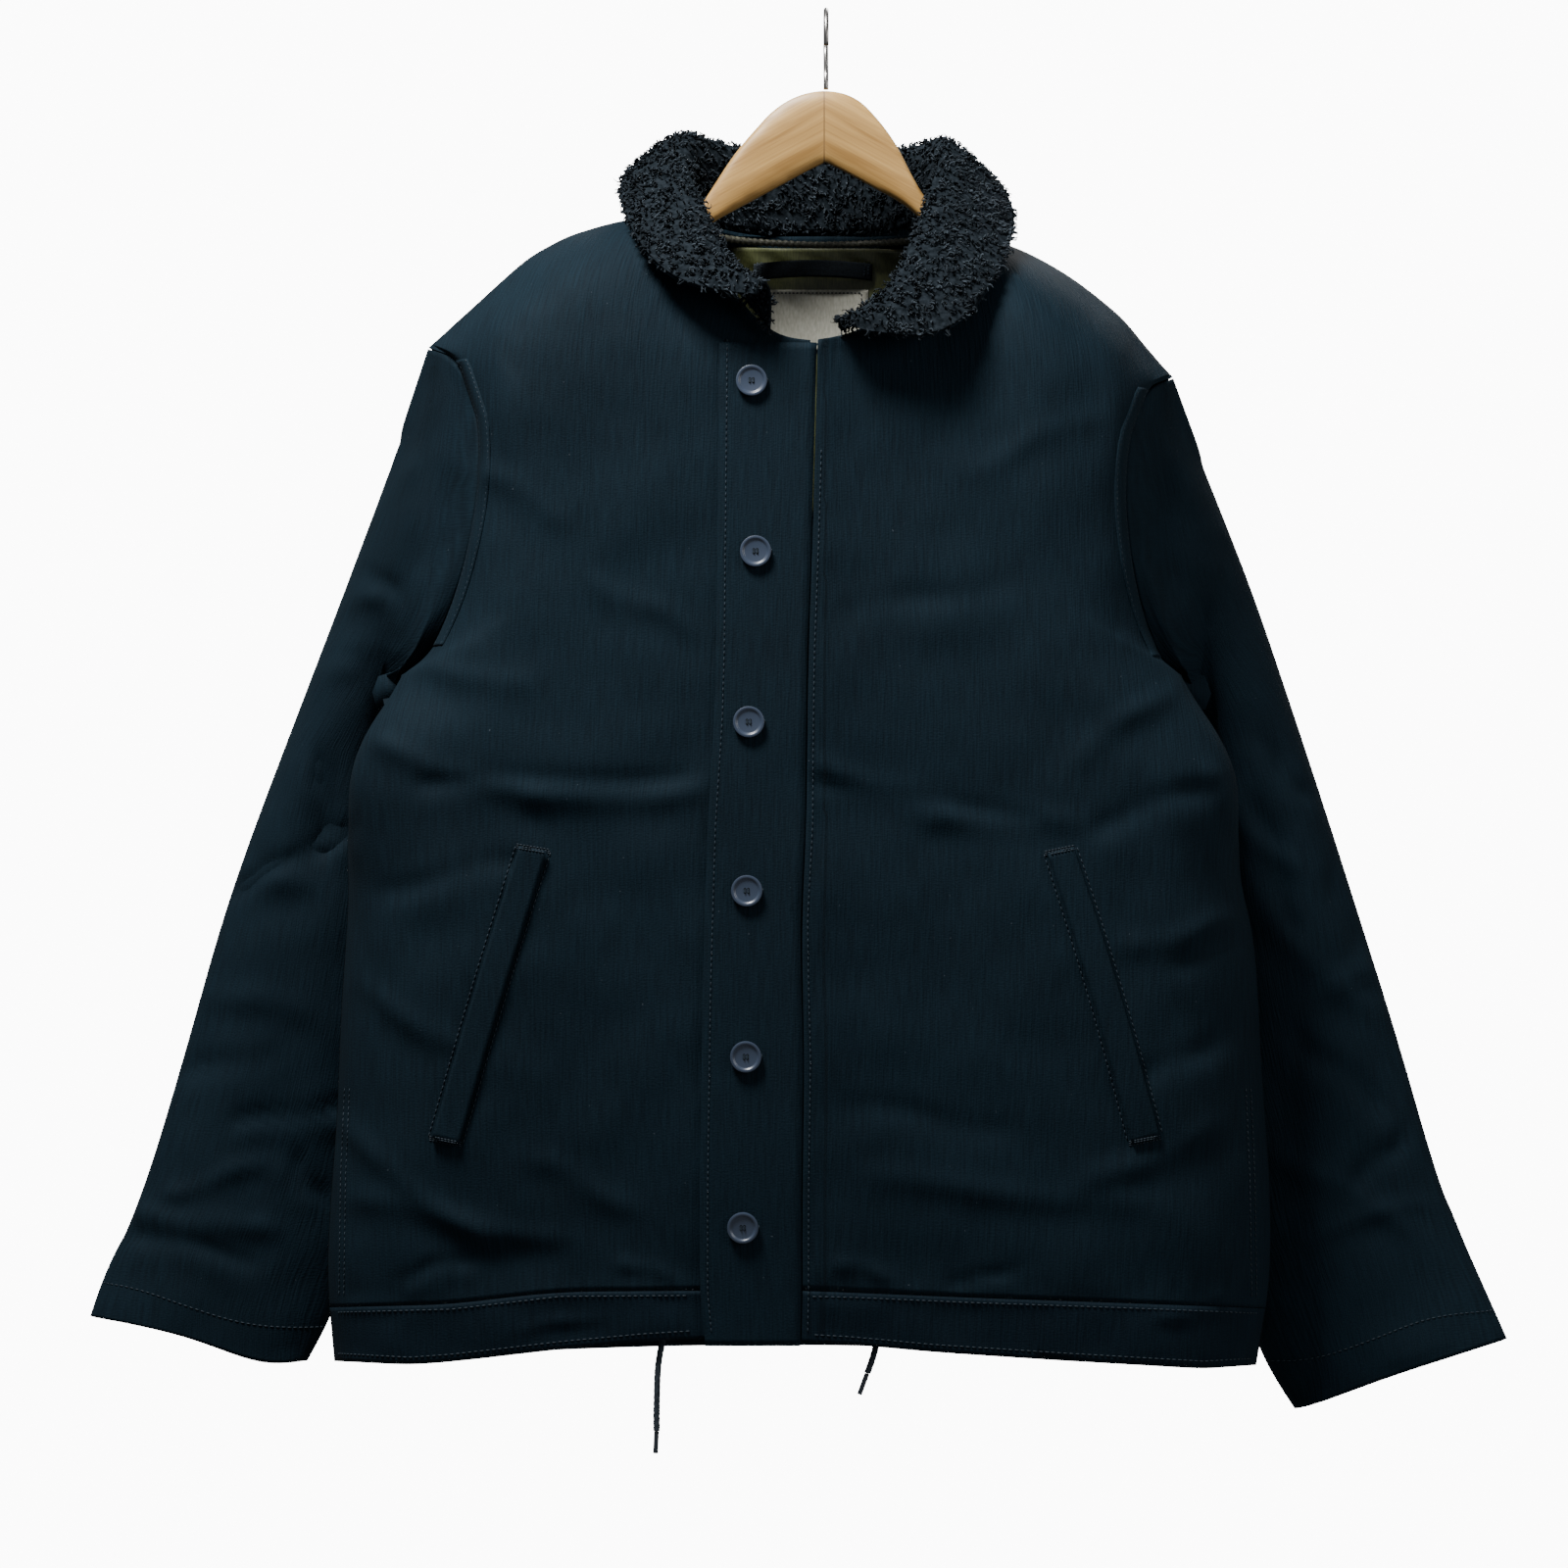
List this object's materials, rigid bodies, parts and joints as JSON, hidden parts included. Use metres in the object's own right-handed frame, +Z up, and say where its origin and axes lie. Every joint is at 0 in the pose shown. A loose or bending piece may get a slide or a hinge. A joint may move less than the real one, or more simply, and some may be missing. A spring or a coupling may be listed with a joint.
{
  "type": "deck jacket on a wooden hanger",
  "caption": "Navy ribbed-cloth deck jacket with a dark pile collar, buttoned placket, slanted welt pockets and a drawstring hem, hanging on a contoured wooden hanger.",
  "frame": {"origin": "bearing point inside the hanger's hook, where it rests on a rail", "axes": "+Z up, the front of the jacket faces -Y, the wearer's right is at -X"},
  "size_m": [0.9137, 0.19, 0.9131],
  "materials": {
    "shell_cloth": "matte ribbed",
    "collar_pile_cloth": "deep pile",
    "lining_satin": "satin",
    "tape_cloth": "woven",
    "label_cloth": "matte",
    "piping_cord": "twisted",
    "button_plastic": "satin",
    "hanger_wood": "satin",
    "hook_steel": "plated"
  },
  "bodies": {
    "root": {"front_right": "shell_cloth", "front_left": "shell_cloth", "back": "shell_cloth", "sleeve_right": "shell_cloth", "sleeve_left": "shell_cloth", "placket": "shell_cloth", "hem_band_right": "shell_cloth", "hem_band_left": "shell_cloth", "hem_band_back": "shell_cloth", "under_collar": "shell_cloth", "pocket_welt_right": "shell_cloth", "pocket_welt_left": "shell_cloth", "collar_pile": "collar_pile_cloth", "lining_back": "lining_satin", "locker_loop": "tape_cloth", "drawstring_right": "tape_cloth", "drawstring_left": "tape_cloth", "neck_label": "label_cloth", "neck_piping": "piping_cord", "button_1": "button_plastic", "button_2": "button_plastic", "button_3": "button_plastic", "button_4": "button_plastic", "button_5": "button_plastic", "button_6": "button_plastic", "drawstring_tip_right": "button_plastic", "drawstring_tip_left": "button_plastic", "hanger": "hanger_wood", "hanger_hook": "hook_steel"}
  },
  "joints": []
}
